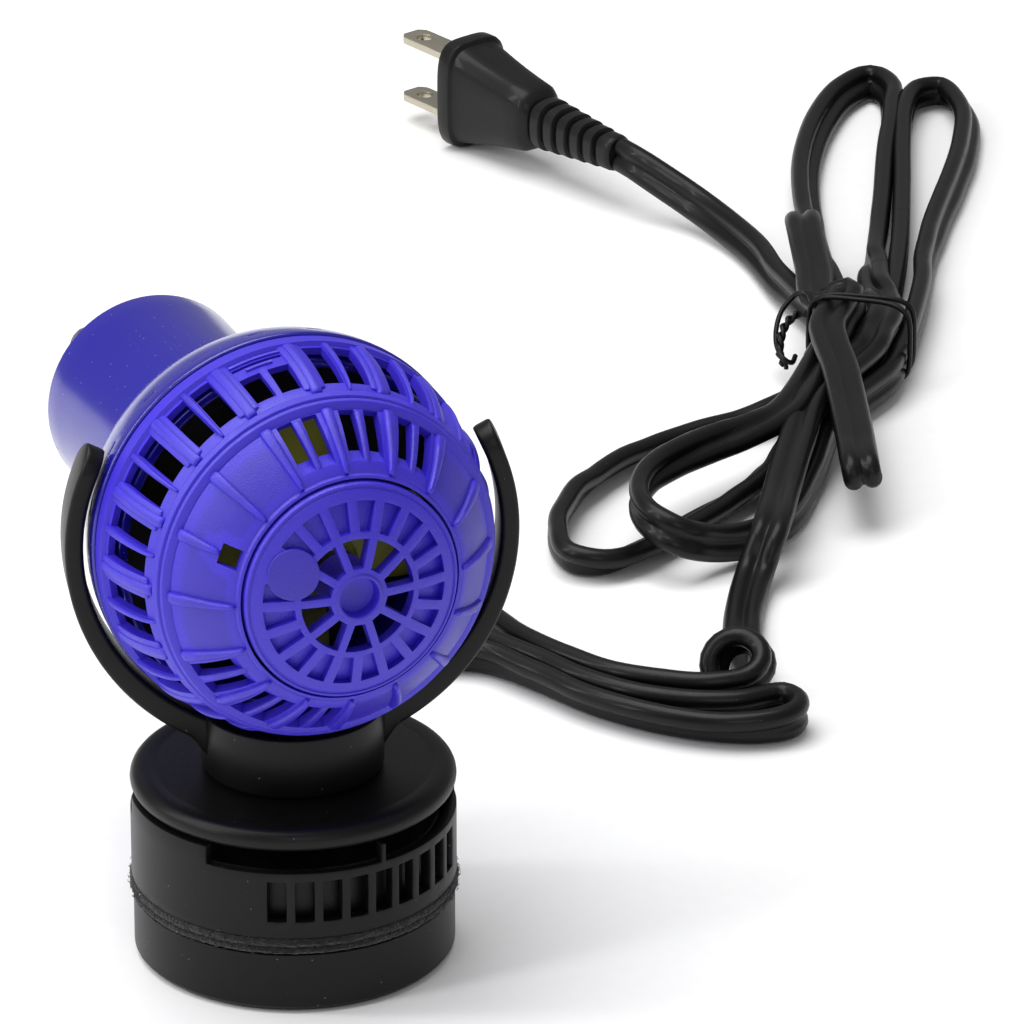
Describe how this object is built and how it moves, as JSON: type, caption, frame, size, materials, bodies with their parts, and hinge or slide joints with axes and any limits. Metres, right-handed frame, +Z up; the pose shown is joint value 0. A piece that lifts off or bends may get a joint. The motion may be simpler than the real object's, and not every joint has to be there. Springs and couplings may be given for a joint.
{
  "type": "wave maker pump",
  "caption": "Ball-shaped aquarium propeller pump held by a swivelling C-shaped yoke on a two-half magnet mount, with a tied flat cord and two-blade plug.",
  "frame": {"origin": "centre of the magnet mount's flat underside, on the surface it stands on", "axes": "+Z up through the magnet mount and the yoke's neck; the pump blows towards -Y at rest and tilts about X"},
  "size_m": [0.3028, 0.372, 0.1084],
  "materials": {
    "black_plastic": "satin moulded black ABS",
    "felt": "dark fuzzy felt",
    "blue_gloss": "glossy violet blue ABS",
    "blue_satin": "fine-grained violet blue ABS",
    "steel": "zinc plated",
    "ferrite": "sintered ferrite",
    "olive_plastic": "olive yellow moulding",
    "ceramic": "polished alumina",
    "copper": "enamelled winding wire",
    "black_rubber": "soft moulded rubber",
    "cord_vinyl": "flexible satin vinyl",
    "blade_metal": "nickel plated brass"
  },
  "bodies": {
    "dry_magnet": {"outer_magnet_case": "black_plastic", "outer_backing_plate": "steel", "outer_magnet": "ferrite", "outer_felt_pad": "felt"},
    "wet_holder": {"inner_foam_pad": "felt", "holder_ring": "black_plastic", "holder_top_disc": "black_plastic", "inner_magnet_can": "black_plastic", "inner_magnet": "ferrite", "inner_backing_plate": "steel"},
    "yoke": {"yoke": "black_plastic", "swivel_screw": "steel", "swivel_washer": "steel", "cord_lead": "cord_vinyl", "cord_folded_stretch": "cord_vinyl", "cord_link": "cord_vinyl", "cord_bundle": "cord_vinyl", "cord_tail": "cord_vinyl", "cord_tie": "black_plastic", "plug_body": "cord_vinyl", "plug_blade_lower": "blade_metal", "plug_blade_upper": "blade_metal"},
    "head": {"rear_housing": "blue_gloss", "rear_cap": "blue_gloss", "cable_gland": "black_rubber", "rotor_well": "black_plastic", "stator_core": "steel", "stator_coil": "copper", "ceramic_shaft": "ceramic", "rear_shaft_bush": "black_rubber"},
    "cage": {"front_cage": "blue_satin", "outlet_grille": "blue_satin", "front_shaft_bush": "black_rubber"},
    "rotor": {"rotor_magnet": "ferrite", "impeller": "olive_plastic", "impeller_washer": "ceramic"}
  },
  "joints": [
    {"name": "magnet_pull_apart", "type": "slide", "parent": "dry_magnet", "child": "wet_holder", "axis": [0, 0, 1], "range_m": [0, 0.012]},
    {"name": "yoke_swivel", "type": "hinge", "parent": "wet_holder", "child": "yoke", "pos_m": [0, 0, 0.033], "axis": [0, 0, 1], "continuous": true},
    {"name": "head_tilt", "type": "hinge", "parent": "yoke", "child": "head", "pos_m": [0, 0, 0.075], "axis": [1, 0, 0], "range_deg": [-18, 40]},
    {"name": "cage_twist", "type": "hinge", "parent": "head", "child": "cage", "pos_m": [0, 0, 0.075], "axis": [0, -0.9993, 0.0384], "range_deg": [0, 12]},
    {"name": "rotor_spin", "type": "hinge", "parent": "head", "child": "rotor", "pos_m": [0, 0, 0.075], "axis": [0, -0.9993, 0.0384], "continuous": true}
  ]
}
